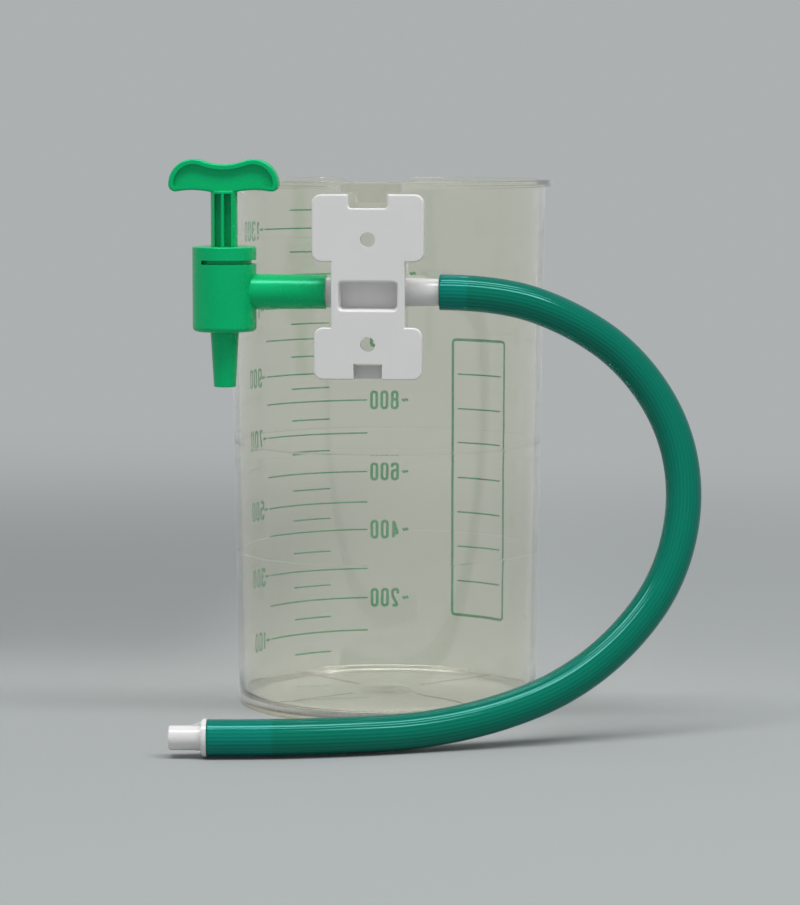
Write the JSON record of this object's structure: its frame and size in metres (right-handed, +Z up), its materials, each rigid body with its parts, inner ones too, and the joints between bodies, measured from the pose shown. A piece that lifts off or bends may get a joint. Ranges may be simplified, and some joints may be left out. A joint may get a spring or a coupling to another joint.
{
  "type": "suction canister",
  "caption": "Clear tapered suction canister with a white bracket plate and vacuum tee on its front, a green push-pull tap on one side and a ribbed green suction hose with a white end connector.",
  "frame": {"origin": "centre of the circle of the canister's foot, on the plane it stands on", "axes": "+Z up along the canister's axis, -Y towards the bracket plate, +X towards the hose's side"},
  "size_m": [0.1789, 0.18, 0.1927],
  "materials": {
    "clear_cup": "clear moulded plastic with a faint warm tint",
    "white_bracket": "smooth satin white",
    "white_tee": "smooth white",
    "grommet_rubber": "soft grey",
    "green_tap": "glossy green",
    "green_cap": "glossy green",
    "seal_rubber": "matt black",
    "green_plunger": "glossy green",
    "green_hose": "soft translucent green, ribbed lengthways",
    "white_connector": "smooth white"
  },
  "bodies": {
    "canister_set": {"canister": "clear_cup", "bracket_plate": "white_bracket", "vacuum_tee": "white_tee", "port_grommet": "grommet_rubber", "valve_body": "green_tap", "valve_cap": "green_cap", "stem_seal": "seal_rubber", "hose": "green_hose", "hose_connector": "white_connector"},
    "plunger": {"valve_plunger": "green_plunger", "plug_seal": "seal_rubber"}
  },
  "joints": [
    {"name": "plunger_slide", "type": "slide", "parent": "canister_set", "child": "plunger", "axis": [0, 0, 1], "range_m": [-0.008, 0]}
  ]
}
